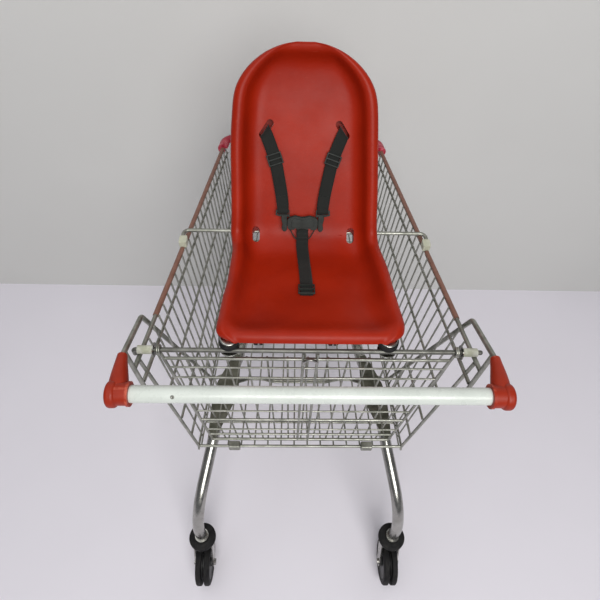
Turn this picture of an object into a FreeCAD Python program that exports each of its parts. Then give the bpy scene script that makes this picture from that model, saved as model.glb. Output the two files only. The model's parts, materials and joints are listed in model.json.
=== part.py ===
import FreeCAD
import Part
import math
import os
import Sketcher

# Wire supermarket trolley with a moulded infant seat above the basket.
# Everything is measured from the handle: x to the right, y forward of the
# handle axis (the way the trolley is pushed), z up from the floor.  Each
# sub-part is then set back by one length, so that the origin lies on the
# floor under the middle of the trolley.

V = FreeCAD.Vector
UP = V(0, 0, 1)
ACROSS = V(1, 0, 0)
AHEAD = V(0, 1, 0)

doc = FreeCAD.newDocument("shopping_cart")
sheet = doc.addObject("Spreadsheet::Sheet", "sizes")

SIZES = [
    ("setback", 413.2),             # from the handle axis to the middle of the trolley
    ("handle_height", 1020.0),      # handle axis above the floor
    ("handle_tube", 26.0),          # diameter
    ("handle_half", 284.0),         # half length of the tube, inside its caps
    ("cap_half", 297.0),            # half width over the end caps
    ("cap_inner", 263.0),           # where the caps begin
    ("cap_girth", 34.0),            # collar diameter of a cap
    ("rim_wire", 8.0),              # diameter of the basket rim
    ("rim_rear_half", 288.0),       # half width of the rim at its rear end
    ("rim_front_half", 219.0),
    ("rim_rear_y", 76.0),
    ("rim_front_y", 917.0),
    ("rim_rear_z", 960.0),
    ("rim_front_z", 848.0),
    ("rear_edge_y", 100.0),         # where the rear edge wire leaves the rim
    ("floor_rear_half", 250.0),     # basket floor
    ("floor_front_half", 190.0),
    ("floor_rear_y", 133.0),
    ("floor_front_y", 870.0),
    ("floor_rear_z", 502.0),
    ("floor_front_z", 560.0),
    ("mesh_wire", 3.8),             # thin wires of the panels
    ("band_wire", 5.4),             # thicker wires that cross them
    ("edge_wire", 7.0),             # wires round the edge of a panel
    ("mesh_pitch", 29.5),           # spacing of the thin wires
    ("weld_sink", 0.6),             # how far welded wires sink into each other
    ("sleeve_girth", 11.0),         # brown sleeves on the rim
    ("rod", 8.5),                   # pivot rod of seat and gate
    ("pivot_y", 112.0),
    ("pivot_z", 965.0),
    ("bush_girth", 15.0),
    ("bush_inner", 262.0),
    ("bush_outer", 288.0),
    ("round_bar", 8.0),             # struts and the bar behind the seat
    ("strut", 9.0),
    ("leg_tube", 30.0),
    ("leg_bore", 26.0),
    ("rear_caster_half", 268.0),    # casters: half track, rear and front
    ("rear_caster_y", 3.0),
    ("front_caster_half", 150.0),
    ("front_caster_y", 838.0),
    ("wheel", 125.0),               # wheel diameter
    ("wheel_wide", 40.0),
    ("trail", 43.0),                # swivel axis to wheel axis
    ("axle", 10.0),
    ("bumper_ring", 74.0),
    ("gate_bottom_half", 216.0),
    ("gate_top_half", 253.0),
    ("gate_bottom_y", 145.0),
    ("gate_bottom_z", 516.0),
    ("back_y", 400.0),              # a point on the edge line of the seat's back
    ("back_z", 991.0),
    ("back_angle", 63.4),           # slope of the back
    ("back_length", 328.0),         # from that point to the top
    ("back_top_arc", 117.0),        # height of the elliptical top
    ("seat_wall", 22.0),
    ("seat_dish", 35.0),            # depth of the bucket
    ("support_y", 441.0),           # straight part of the bar behind the seat
    ("support_z", 931.0),
    ("webbing", 25.0),              # harness webbing
    ("webbing_thick", 1.8),
    ("clamp_x", 135.0),
    ("clamp_y", 122.0),
    ("clamp_rubber", 37.0),
    ("running_gap", 0.06),          # radial clearance of turning joints
]

for row, (name, value) in enumerate(SIZES, start=1):
    sheet.set("A%d" % row, name)
    sheet.set("B%d" % row, "%s" % value)
    sheet.setAlias("B%d" % row, name)
doc.recompute()

PARTS = []


def size(name):
    return float(sheet.get(name))


def keep(obj, label):
    """Name a finished sub-part and set it back to the common origin."""
    obj.Label = label
    obj.setExpression("Placement.Base.y", "-sizes.setback")
    PARTS.append(obj)
    return obj


def solid_part(label, shape):
    """A sub-part whose shape is put together from Part functions."""
    obj = doc.addObject("Part::Feature", label)
    obj.Shape = shape
    return keep(obj, label)


def group(shapes):
    return Part.makeCompound(shapes)


def fuse(shapes):
    if len(shapes) == 1:
        return shapes[0]
    return shapes[0].multiFuse(shapes[1:])


def one_solid(shape):
    return shape.Solids[0]


def sides(build):
    """The left (-1) and right (+1) version of a shape."""
    return [build(-1), build(1)]


def rod_between(start, end, girth):
    span = end - start
    return Part.makeCylinder(girth / 2, span.Length, start, span)


def bent_rod(points, girth, bend, bore=0.0):
    """A round rod or tube along a polyline; bend is one radius, or one for each corner."""
    radii = bend if isinstance(bend, list) else [bend] * (len(points) - 2)
    edges = []
    last = points[0]
    for index, radius in enumerate(radii, start=1):
        corner = points[index]
        into = (corner - points[index - 1]).normalize()
        out = (points[index + 1] - corner).normalize()
        half_turn = into.getAngle(out) / 2
        reach = radius * math.tan(half_turn)
        begin = corner - into * reach
        finish = corner + out * reach
        inward = (out - into).normalize()
        middle = corner + inward * (radius / math.cos(half_turn) - radius)
        edges.append(Part.LineSegment(last, begin).toShape())
        edges.append(Part.Arc(begin, middle, finish).toShape())
        last = finish
    edges.append(Part.LineSegment(last, points[-1]).toShape())
    spine = Part.Wire(edges)
    start_way = (points[1] - points[0]).normalize()

    def sweep(diameter):
        ring = Part.Wire(Part.makeCircle(diameter / 2, points[0], start_way))
        return spine.makePipeShell([ring], True, False, 2)

    body = sweep(girth)
    if bore:
        body = body.cut(sweep(bore))
    return body


def along(start, end, share):
    return start + (end - start) * share


def spread(low, high, pitch):
    """Evenly spaced shares from low to high, about one pitch apart."""
    steps = int(round((high - low) / pitch))
    return [index / steps for index in range(steps + 1)]


# Basket corners on the left; the right side is the mirror image.
def rim_point(side, y):
    share = (y - size("rim_rear_y")) / (size("rim_front_y") - size("rim_rear_y"))
    half = size("rim_rear_half") + share * (size("rim_front_half") - size("rim_rear_half"))
    z = size("rim_rear_z") + share * (size("rim_front_z") - size("rim_rear_z"))
    return V(side * half, y, z)


def floor_point(side, share):
    half = size("floor_rear_half") + share * (size("floor_front_half") - size("floor_rear_half"))
    y = size("floor_rear_y") + share * (size("floor_front_y") - size("floor_rear_y"))
    z = size("floor_rear_z") + share * (size("floor_front_z") - size("floor_rear_z"))
    return V(side * half, y, z)


mesh = size("mesh_wire")
band = size("band_wire")
edge = size("edge_wire")
sink = size("weld_sink")
rim = size("rim_wire")

# ---------------------------------------------------------------- rim
RIM_CORNER = 34.0
HANGER_ROOM = 4.4            # the rim ends on the front of the hanger rod
solid_part(
    "rim_wire",
    bent_rod(
        [
            rim_point(-1, size("rim_rear_y") + HANGER_ROOM),
            rim_point(-1, size("rim_front_y")),
            rim_point(1, size("rim_front_y")),
            rim_point(1, size("rim_rear_y") + HANGER_ROOM),
        ],
        rim,
        RIM_CORNER,
    ),
)


# The thin wires stand against the inner side of the rim and end just above
# its middle; whatever wraps the rim leaves this zone free.
WIRE_TOP = 1.0


def mesh_zone(start, end, inward, gap=0.1):
    low = UP * -40.0
    high = UP * (WIRE_TOP + 1.2)
    near = inward * (rim / 2 - sink - gap)
    far = inward * 30.0
    ring = [start + near + low, start + near + high, start + far + high, start + far + low]
    return Part.Face(Part.makePolygon(ring + [ring[0]])).extrude(end - start)


def sleeve(side, from_y, to_y):
    """Split plastic sleeve on the rim, open towards the thin wires."""
    start = rim_point(side, from_y)
    end = rim_point(side, to_y)
    outside = rod_between(start, end, size("sleeve_girth"))
    core = rod_between(start, end, rim + 0.1)
    return one_solid(outside.cut(core).cut(mesh_zone(start, end, V(-side, 0, 0))))


SLEEVE_RUNS = [(200.0, 398.0), (424.0, 852.0)]
solid_part(
    "rim_sleeves",
    group([sleeve(side, *run) for side in (-1, 1) for run in SLEEVE_RUNS]),
)


# ------------------------------------------------------- wire panels
# In every panel the thin wires lie inside the thicker ones and both are
# sunk a little into each other where they are welded.
BAND_TO_RIM = (rim - band) / 2      # bands lie this much further in than the rim's middle


def panel(corners, inward, thin_shares, band_shares, bands_to=(0.0, 1.0), edges=(), top_lift=0.0):
    """One welded grid.  corners: top rear, top front, floor rear, floor front."""
    top_a, top_b, low_a, low_b = corners
    lift = inward * ((mesh + band) / 2 - sink)
    wires = []
    for share in thin_shares:
        start = along(top_a, top_b, share) + lift + UP * top_lift
        end = along(low_a, low_b, share) + lift
        run = (end - start).normalize()
        wires.append(rod_between(start, end + run * (band / 2), mesh))
    for share in band_shares:
        start = along(top_a, low_a, share)
        end = along(top_b, low_b, share)
        wires.append(rod_between(along(start, end, bands_to[0]), along(start, end, bands_to[1]), band))
    for start, end in edges:
        wires.append(rod_between(start, end, edge))
    return one_solid(fuse(wires))


SIDE_BANDS = [0.10, 0.37, 0.62, 0.83, 1.0]


def side_corners(side):
    shift = V(-side * BAND_TO_RIM, 0, 0)
    return [
        rim_point(side, size("rear_edge_y") + 14.0) + shift,
        rim_point(side, size("rim_front_y") - 24.0) + shift,
        floor_point(side, 0.0),
        floor_point(side, 0.97),
    ]


def side_grid(side):
    corners = side_corners(side)
    inward = (corners[1] - corners[0]).cross(corners[2] - corners[0])
    inward = inward.normalize() * (-1 if inward.x * side > 0 else 1)
    span = (corners[1] - corners[0]).Length
    shares = spread(0.0, span, size("mesh_pitch"))
    rear_edge = (rim_point(side, size("rear_edge_y")) - UP * (rim / 2 + edge / 2 - sink), corners[2])
    grid = panel(corners, inward, shares[1:-1], SIDE_BANDS, edges=[rear_edge], top_lift=WIRE_TOP)
    # The top band runs on rearward past the gate to the handle strut.
    band_start = along(corners[0], corners[2], SIDE_BANDS[0])
    band_end = along(corners[1], corners[3], SIDE_BANDS[0])
    forward = (band_end - band_start).normalize()
    tail = rod_between(band_start - forward * 35.0, band_start + forward * 60.0, rim - 1.0)
    pointed_end = rod_between(corners[2], corners[2] + V(side * 1.0, -2.0, -14.0), band)
    return one_solid(fuse([grid, tail, pointed_end]))


for side, word in ((-1, "left"), (1, "right")):
    solid_part("side_grid_" + word, side_grid(side))

front_top_half = size("rim_front_half") - RIM_CORNER
front_corners = [
    V(-front_top_half, size("rim_front_y") - BAND_TO_RIM, size("rim_front_z")),
    V(front_top_half, size("rim_front_y") - BAND_TO_RIM, size("rim_front_z")),
    V(-(size("floor_front_half") - 12.0), size("floor_front_y") + 4.0, size("floor_front_z")),
    V(size("floor_front_half") - 12.0, size("floor_front_y") + 4.0, size("floor_front_z")),
]
front_span = (front_corners[1] - front_corners[0]).Length
solid_part(
    "front_grid",
    panel(
        front_corners,
        AHEAD * -1,
        spread(0.0, front_span, size("mesh_pitch")),
        SIDE_BANDS,
        bands_to=(-0.03, 1.03),
        top_lift=WIRE_TOP,
    ),
)

# The floor: wires fore and aft on top of cross wires, and the stout rear bar.
FLOOR_SIDE_ROOM = 7.0
floor_inset = V(FLOOR_SIDE_ROOM, 0, 0)
floor_corners = [
    floor_point(-1, 0.0) + floor_inset,
    floor_point(1, 0.0) - floor_inset,
    floor_point(-1, 0.985) + floor_inset,
    floor_point(1, 0.985) - floor_inset,
]
floor_span = (floor_corners[1] - floor_corners[0]).Length
floor_cross = spread(0.0, size("floor_front_y") - size("floor_rear_y"), 62.0)
floor_wires = panel(floor_corners, UP, spread(0.0, floor_span, floor_span / 15), floor_cross[1:])
bar_inset = V(edge / 2 - sink, 0, 0)
rear_bar = rod_between(floor_point(-1, 0.0) + bar_inset, floor_point(1, 0.0) - bar_inset, edge)
solid_part("floor_grid", one_solid(floor_wires.fuse(rear_bar)))


# Buffers clipped on the rear floor bar, each between two wires of the floor;
# the hanging gate rests on them.
def gate_buffer(side):
    middle_x = side * BUFFER_X
    wide = 28.0
    rear = size("floor_rear_y") - 9.0
    front = size("gate_bottom_y") - edge / 2 - 0.3
    low = size("floor_rear_z") - 7.0
    high = size("gate_bottom_z") - 1.0
    block = Part.makeBox(wide, front - rear, high - low, V(middle_x - wide / 2, rear, low))
    block = block.makeFillet(3.0, block.Edges)
    bar_line = floor_point(-1, 0.0)
    groove_start = V(middle_x - wide, bar_line.y, bar_line.z)
    groove = Part.makeCylinder(edge / 2 + 0.05, 2 * wide, groove_start, ACROSS)
    return one_solid(block.cut(groove))


BUFFER_X = floor_span / 15 * 5
solid_part("gate_buffers", group(sides(gate_buffer)))


# Crimson bumper on each front corner of the rim.
def corner_bumper(side):
    corner = rim_point(side, size("rim_front_y"))
    back = rim_point(side, size("rim_front_y") - 62.0)
    inner = V(corner.x - side * 42.0, corner.y, corner.z)
    jacket = bent_rod([back, corner, inner], 28.0, RIM_CORNER)
    core = bent_rod(
        [rim_point(side, size("rim_front_y") - 80.0), corner, V(corner.x - side * 80.0, corner.y, corner.z)],
        rim + 0.2,
        RIM_CORNER,
    )
    below = Part.makeBox(140.0, 140.0, 30.0, V(corner.x - 70.0, corner.y - 100.0, corner.z - 36.0))
    side_zone = mesh_zone(rim_point(side, size("rim_front_y") - 90.0), corner, V(-side, 0, 0))
    front_zone = mesh_zone(V(0, corner.y, corner.z), corner, AHEAD * -1)
    return one_solid(jacket.cut([core, below, side_zone, front_zone]))


for side, word in ((-1, "left"), (1, "right")):
    solid_part("corner_bumper_" + word, corner_bumper(side))

# ------------------------------------------------------ handle
handle_r = size("handle_tube") / 2
tube = doc.addObject("Part::Cylinder", "handle_outside")
tube.setExpression("Radius", "sizes.handle_tube / 2")
tube.setExpression("Height", "2 * sizes.handle_half")
tube.Placement = FreeCAD.Placement(
    V(-size("handle_half"), 0, size("handle_height")), FreeCAD.Rotation(AHEAD, 90)
)
hollow = doc.addObject("Part::Cylinder", "handle_inside")
hollow.setExpression("Radius", "sizes.handle_tube / 2 - 1.5")
hollow.setExpression("Height", "2 * sizes.handle_half")
hollow.Placement = tube.Placement
handle = doc.addObject("Part::Cut", "handle_tube")
handle.Base = tube
handle.Tool = hollow
keep(handle, "handle_tube")

STRUT_TOP_Y = 40.0
CAP_MOUTH_Y = 69.0


def strut_top(side):
    return V(side * 289.5, STRUT_TOP_Y, size("handle_height") - 2.5)


def strut_mouth(side):
    return V(side * 291.0, CAP_MOUTH_Y, size("handle_height") - 5.0)


STRUT_BEND = V(292.0, 174.0, 975.0)
STRUT_KNEE = V(241.0, 336.0, 470.0)
STRUT_FOOT = V(202.9, 347.0, 481.8)


def handle_strut(side):
    bend = V(side * STRUT_BEND.x, STRUT_BEND.y, STRUT_BEND.z)
    knee = V(side * STRUT_KNEE.x, STRUT_KNEE.y, STRUT_KNEE.z)
    foot = V(side * STRUT_FOOT.x, STRUT_FOOT.y, STRUT_FOOT.z)
    shank = bent_rod([strut_top(side), strut_mouth(side), bend, knee, foot], size("strut"), 13.0)
    hanger_top = strut_mouth(side) + V(0, 8.5, -2.5)
    hanger = rod_between(hanger_top, V(side * 284.0, 77.0, 903.0), size("round_bar"))
    return one_solid(fuse([shank, hanger]))


def handle_cap(side):
    axis = V(0, 0, size("handle_height"))
    inner = size("cap_inner")
    outer = size("cap_half")
    collar = Part.makeCylinder(size("cap_girth") / 2, outer - inner, axis + ACROSS * (side * inner), ACROSS * side)
    outer_edges = [
        item for item in collar.Edges
        if abs(abs(item.CenterOfMass.x) - outer) < 0.5
    ]
    collar = collar.makeFillet(10.0, outer_edges)
    lobe = Part.makeCylinder(20.0, 16.0, axis - UP + ACROSS * (side * (outer - 16.0)), ACROSS * side)
    round_edges = [item for item in lobe.Edges if item.Length > 60.0]
    lobe = lobe.makeFillet(6.0, round_edges)
    ring = Part.makeCylinder(size("cap_girth") / 2 + 1.5, 4.0, axis + ACROSS * (side * inner), ACROSS * side)
    arm_way = (strut_mouth(side) - strut_top(side)).normalize()
    girths = [
        (V(side * 281.5, 0.0, size("handle_height")), 15.0),
        (V(side * 284.5, 22.0, size("handle_height") - 0.5), 14.0),
        (V(side * 288.0, 46.0, size("handle_height") - 2.5), 10.8),
        (strut_mouth(side), 7.8),
    ]
    rings = [Part.Wire(Part.makeCircle(girth, point, arm_way)) for point, girth in girths]
    arm = Part.makeLoft(rings, True, False)
    body = collar.fuse([ring, lobe, arm])
    socket = Part.makeCylinder(handle_r + 0.05, 300.0, V(0, 0, size("handle_height")), ACROSS * side)
    stop = Part.makeBox(40.0, 80.0, 80.0, V(-20.0, -40.0, -40.0))
    stop.translate(V(side * (size("handle_half") + 20.2), 0, size("handle_height")))
    socket = socket.cut(stop)
    deep_end = strut_top(side) - arm_way * 0.5
    eye = rod_between(deep_end, strut_mouth(side) + arm_way * 12.0, size("strut") + 0.1)
    return one_solid(body.cut(socket).cut(eye))


for side, word in ((-1, "left"), (1, "right")):
    solid_part("handle_cap_" + word, handle_cap(side))
    solid_part("handle_strut_" + word, handle_strut(side))


# ------------------------------------------------- legs and chassis
LEG_CUT = 158.0


def leg_tube(side):
    rear = size("rear_caster_half")
    front = size("front_caster_half")
    path = [
        V(side * rear, size("rear_caster_y"), LEG_CUT),
        V(side * rear, size("rear_caster_y"), 325.0),
        V(side * 208.0, 280.0, 474.0),
        V(side * 172.0, 396.0, 492.0),
        V(side * front, 520.0, 502.0),
        V(side * front, size("front_caster_y"), 528.0),
        V(side * front, size("front_caster_y"), LEG_CUT),
    ]
    bends = [160.0] + [46.0] * (len(path) - 3)
    return bent_rod(path, size("leg_tube"), bends, size("leg_bore"))


for side, word in ((-1, "left"), (1, "right")):
    solid_part("leg_tube_" + word, leg_tube(side))


# A lens-shaped plate on each leg tube guides nested trolleys.
def chassis_plate(side):
    start = V(side * 226.0, 165.0, 470.5)
    end = V(side * 174.0, 392.0, 508.5)
    way = (end - start).normalize()
    flat_up = (UP - way * UP.dot(way)).normalize()
    sideways = way.cross(flat_up)
    length = (end - start).Length

    def rim_of_plate(share, half):
        return start + way * (length * share) + sideways * half

    outline = [(0.0, 9.0), (0.2, 19.0), (0.42, 29.0), (0.62, 30.0), (0.85, 18.0), (1.0, 9.0)]
    points = [rim_of_plate(share, half) for share, half in outline]
    points += [rim_of_plate(share, -half) for share, half in reversed(outline)]
    points.append(points[0])
    face = Part.Face(Part.makePolygon(points))
    return face.extrude(flat_up * 3.0)


solid_part("chassis_plates", group(sides(chassis_plate)))


# Twin wavy cross wire between the leg tubes.
def wave_wire(y):
    half = 205.0
    low = 464.1
    high = 482.7
    bends = [(half, low), (172.0, low), (140.0, high), (104.0, high), (72.0, low + 4.0)]
    points = [V(-x, y, z) for x, z in bends] + [V(x, y, z) for x, z in reversed(bends)]
    return bent_rod(points, 6.0, 16.0)


WAVE_Y = 330.0
wave_pair = [wave_wire(WAVE_Y), wave_wire(WAVE_Y + 6.0 - sink)]
solid_part("wave_bar", one_solid(fuse(wave_pair)))

# Cross bar on the leg tubes, under one of the floor's cross wires.
FRONT_BAR_SHARE = 0.75
front_bar_at = floor_point(1, FRONT_BAR_SHARE)
solid_part(
    "front_bar",
    rod_between(V(-162.0, front_bar_at.y, 536.65), V(162.0, front_bar_at.y, 536.65), 12.6),
)


# ------------------------------------------------------ casters
CORNERS = [
    ("rear_left", -size("rear_caster_half"), size("rear_caster_y")),
    ("rear_right", size("rear_caster_half"), size("rear_caster_y")),
    ("front_left", -size("front_caster_half"), size("front_caster_y")),
    ("front_right", size("front_caster_half"), size("front_caster_y")),
]
leg_r = size("leg_tube") / 2
HOUSING_LOW = 152.0
HOUSING_HIGH = 186.0


def swivel_housing(x, y):
    """Steel collar pressed on the end of a leg."""
    outside = Part.makeCylinder(leg_r + 3.5, HOUSING_HIGH - HOUSING_LOW, V(x, y, HOUSING_LOW))
    pocket = Part.makeCylinder(leg_r + 0.02, HOUSING_HIGH - LEG_CUT, V(x, y, LEG_CUT))
    stem_hole = Part.makeCylinder(8.0 + size("running_gap"), 20.0, V(x, y, HOUSING_LOW - 1))
    return outside.cut(pocket).cut(stem_hole)


solid_part("swivel_housings", group([swivel_housing(x, y) for _, x, y in CORNERS]))


def revolved_body(label, half_profile, base, turn_axis):
    """A PartDesign body turned about its own Z axis, then stood along turn_axis."""
    body = doc.addObject("PartDesign::Body", label)
    sketch = body.newObject("Sketcher::SketchObject", label + "_profile")
    plane = next(item for item in body.Origin.OriginFeatures if item.Role == "XZ_Plane")
    sketch.AttachmentSupport = [(plane, "")]
    sketch.MapMode = "FlatFace"
    count = len(half_profile)
    for index in range(count):
        r0, h0 = half_profile[index]
        r1, h1 = half_profile[(index + 1) % count]
        sketch.addGeometry(Part.LineSegment(V(r0, h0, 0), V(r1, h1, 0)), False)
    for index in range(count):
        sketch.addConstraint(Sketcher.Constraint("Coincident", index, 2, (index + 1) % count, 1))
    turned = body.newObject("PartDesign::Revolution", label + "_turned")
    turned.Profile = sketch
    turned.ReferenceAxis = (sketch, ["V_Axis"])
    turned.Angle = 360.0
    body.Tip = turned
    rotation = FreeCAD.Rotation(UP, turn_axis)
    body.Placement = FreeCAD.Placement(V(base.x, 0, base.z), rotation)
    body.setExpression("Placement.Base.y", "%s - sizes.setback" % base.y)
    body.Label = label
    PARTS.append(body)
    return body


ring_r = size("bumper_ring") / 2
RING_PROFILE = [
    (leg_r + 3.6, 156.0), (ring_r - 5.0, 156.0), (ring_r - 1.5, 158.0), (ring_r, 161.5),
    (ring_r, 169.0), (ring_r - 1.5, 172.5), (ring_r - 5.0, 174.5), (leg_r + 8.0, 176.5),
    (leg_r + 3.6, 176.5),
]
for name, x, y in CORNERS:
    revolved_body("bumper_ring_" + name, RING_PROFILE, V(x, y, 0), UP)

wheel_r = size("wheel") / 2
wheel_half = size("wheel_wide") / 2
axle_r = size("axle") / 2
FORK_TOP = 148.0
CHEEK_INSIDE = wheel_half + 3.0
CHEEK_THICK = 3.5


def caster_fork(x, y):
    """Top plate with a stem up into the housing, and two cheeks down to the axle."""
    plate = Part.makeCylinder(CHEEK_INSIDE + CHEEK_THICK, 5.0, V(x, y, FORK_TOP - 5.0))
    stem = Part.makeCylinder(8.0, 30.0, V(x, y, FORK_TOP - 1.0))
    boss = Part.makeCylinder(13.0, 3.0, V(x, y, FORK_TOP - 0.5))
    axle_y = y - size("trail")
    pieces = [plate, stem, boss]
    for side in (-1, 1):
        outline = [
            V(0, y - 20.0, FORK_TOP - 4.0), V(0, y + 16.0, FORK_TOP - 4.0), V(0, y + 13.0, FORK_TOP - 22.0),
            V(0, axle_y + 14.0, wheel_r - 8.0), V(0, axle_y + 4.0, wheel_r - 14.0),
            V(0, axle_y - 6.0, wheel_r - 13.0), V(0, axle_y - 14.0, wheel_r - 3.0),
            V(0, axle_y - 13.0, wheel_r + 7.0),
        ]
        outline.append(outline[0])
        face = Part.Face(Part.makePolygon(outline))
        cheek = face.extrude(ACROSS * CHEEK_THICK)
        inside = CHEEK_INSIDE if side > 0 else -CHEEK_INSIDE - CHEEK_THICK
        cheek.translate(V(x + inside, 0, 0))
        pieces.append(cheek)
    body = fuse(pieces)
    across = Part.makeCylinder(axle_r + 0.02, 80.0, V(x - 40.0, axle_y, wheel_r), ACROSS)
    return one_solid(body.cut(across))


def caster_axle(x, y):
    axle_y = y - size("trail")
    reach = CHEEK_INSIDE + CHEEK_THICK
    shank = Part.makeCylinder(axle_r, 2 * reach + 2.0, V(x - reach - 1.0, axle_y, wheel_r), ACROSS)
    head = Part.makeCylinder(axle_r + 3.5, 4.0, V(x - reach - 4.1, axle_y, wheel_r), ACROSS)
    nut_base = V(x + reach + 0.1, axle_y, wheel_r)
    nut_points = []
    for corner in range(7):
        angle = math.radians(60 * corner)
        nut_points.append(nut_base + V(0, 9.0 * math.cos(angle), 9.0 * math.sin(angle)))
    nut = Part.Face(Part.makePolygon(nut_points)).extrude(ACROSS * 5.0)
    return one_solid(fuse([shank, head, nut]))


hub_r = wheel_r - 17.0
HUB_PROFILE = [
    (axle_r + size("running_gap"), -wheel_half - 2.0), (axle_r + 7.0, -wheel_half - 2.0),
    (axle_r + 7.0, -wheel_half + 3.0), (hub_r - 6.0, -wheel_half + 4.0), (hub_r, -wheel_half + 1.5),
    (hub_r, -3.4), (hub_r - 14.0, -3.0), (hub_r - 14.0, 3.0), (hub_r, 3.4),
    (hub_r, wheel_half - 1.5), (hub_r - 6.0, wheel_half - 4.0), (axle_r + 7.0, wheel_half - 3.0),
    (axle_r + 7.0, wheel_half + 2.0), (axle_r + size("running_gap"), wheel_half + 2.0),
]
TREAD_HALF = [
    (hub_r + 0.02, 4.5), (wheel_r - 1.2, 4.5), (wheel_r, 6.0), (wheel_r, wheel_half - 4.5),
    (wheel_r - 2.0, wheel_half - 1.5), (wheel_r - 6.0, wheel_half), (hub_r + 0.02, wheel_half - 1.0),
]


def turned_ring(profile, centre):
    points = [V(centre.x + h, centre.y, centre.z + r) for r, h in profile]
    points.append(points[0])
    return Part.Face(Part.makePolygon(points)).revolve(centre, ACROSS, 360)


for name, x, y in CORNERS:
    solid_part("fork_" + name, caster_fork(x, y))
    solid_part("axle_" + name, caster_axle(x, y))
    centre = V(x, y - size("trail"), wheel_r)
    revolved_body("hub_" + name, HUB_PROFILE, centre, ACROSS)
    mirrored = [(r, -h) for r, h in TREAD_HALF]
    solid_part("tread_" + name, group([turned_ring(TREAD_HALF, centre), turned_ring(mirrored, centre)]))

# ------------------------------------------------------ pivot rod and gate
pivot = V(0, size("pivot_y"), size("pivot_z"))
rod_r = size("rod") / 2


def pivot_rod():
    """The rod of gate and seat; its left end is bent down into a hook."""
    left = pivot + V(-295.0, 0, 0)
    right = pivot + V(294.0, 0, 0)
    hook = left + V(-0.5, 2.0, -15.0)
    body = bent_rod([right, left, hook], size("rod"), 5.5)
    tip = Part.makeSphere(rod_r, right)
    return one_solid(body.fuse(tip))


solid_part("pivot_rod", pivot_rod())


def rod_bush(side):
    inner = size("bush_inner")
    length = size("bush_outer") - inner
    body = Part.makeCylinder(size("bush_girth") / 2, length, pivot + ACROSS * (side * inner), ACROSS * side)
    bore = Part.makeCylinder(rod_r + size("running_gap"), length + 2, pivot + ACROSS * (side * (inner - 1)),
                             ACROSS * side)
    groove = rod_between(rim_point(side, 80.0), rim_point(side, 150.0), rim + 0.1)
    return one_solid(body.cut(bore).cut(groove))


solid_part("rod_bushes", group(sides(rod_bush)))

WASHER_THICK = 1.6


def rod_washer(side):
    base = pivot + ACROSS * (side * (size("bush_inner") - 2.2))
    disc = Part.makeCylinder(12.5, WASHER_THICK, base, ACROSS * side)
    hole = Part.makeCylinder(rod_r + 0.02, WASHER_THICK + 2, base - ACROSS * side, ACROSS * side)
    return disc.cut(hole)


solid_part("rod_washers", group(sides(rod_washer)))


GATE_BAR = 935.0
HOOK_POSTS = (-8.5, 16.3)
GATE_ROWS = [                # height and diameter of the cross wires
    (GATE_BAR, 6.0), (901.0, mesh), (860.0, mesh), (778.0, mesh), (696.0, mesh),
    (646.0, edge - 1.0), (585.0, mesh), (552.0, band), (size("gate_bottom_z"), edge),
]


def gate_grid():
    """Hanging wire gate; its side wires are coiled round the pivot rod."""
    low_z = size("gate_bottom_z")
    low_y = size("gate_bottom_y")
    drop = pivot.z - low_z

    def gate_row(half, z):
        share = (pivot.z - z) / drop
        y = pivot.y + share * (low_y - pivot.y)
        return V(-half, y, z), V(half, y, z)

    def half_at(z):
        share = (pivot.z - z) / drop
        return size("gate_top_half") + share * (size("gate_bottom_half") - size("gate_top_half"))

    wires = []
    coil_r = rod_r + 3.1
    for side in (-1, 1):
        top = V(side * size("gate_top_half"), pivot.y + 1.0, pivot.z - coil_r)
        low = V(side * size("gate_bottom_half"), low_y, low_z)
        wires.append(rod_between(top, low, edge - 1.0))
        for turn in (-1.5, 1.5):
            eye = Part.makeTorus(coil_r, 2.2, pivot + ACROSS * (side * size("gate_top_half") + turn), ACROSS)
            wires.append(eye)
    for z, girth in GATE_ROWS:
        half = half_at(z)
        start, end = gate_row(half, z)
        wires.append(rod_between(start, end, girth))
    face_lift = V(0, (mesh + band) / 2 - sink, 0)
    columns = spread(-half_at(low_z), half_at(low_z), 32.0)[1:-1]
    for share in columns:
        x_low = (2 * share - 1) * half_at(low_z)
        x_top = (2 * share - 1) * half_at(GATE_BAR)
        top = V(x_top, gate_row(0, GATE_BAR)[0].y, GATE_BAR) + face_lift
        low = V(x_low, low_y, low_z) + face_lift
        wires.append(rod_between(top, low, mesh))
    # Two stouter posts in the middle carry the hook.
    for x in HOOK_POSTS:
        top = V(x, gate_row(0, 957.0)[0].y, 957.0)
        low = V(x, low_y, low_z)
        wires.append(rod_between(top, low, band))
    return one_solid(fuse(wires))


solid_part("gate_grid", gate_grid())


def gate_hook():
    """Half ring between the two middle posts of the gate."""
    centre = V(sum(HOOK_POSTS) / 2, pivot.y - 3.2, 929.0)
    ring = Part.makeTorus((HOOK_POSTS[1] - HOOK_POSTS[0]) / 2 - 0.4, 2.3, centre, AHEAD)
    keep_box = Part.makeBox(60.0, 20.0, 40.0, centre + V(-30.0, -10.0, -2.0))
    return one_solid(ring.common(keep_box))


solid_part("gate_hook", gate_hook())

# ------------------------------------------------------ seat shell
back_angle = math.radians(size("back_angle"))
up_back = V(0, math.cos(back_angle), math.sin(back_angle))
behind_back = V(0, math.sin(back_angle), -math.cos(back_angle))
back_foot = V(0, size("back_y"), size("back_z"))
wall = size("seat_wall")
dish = size("seat_dish")


# The moulding sits a little askew between the clamps and the support bar: its
# back stands further left than its front.
BACK_MIDDLE = -8.0


def on_back(x, climb, depth):
    """A point of the seat's back: from its middle line, up the slope, behind the edge line."""
    return back_foot + ACROSS * (x + BACK_MIDDLE) + up_back * climb + behind_back * depth


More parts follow.
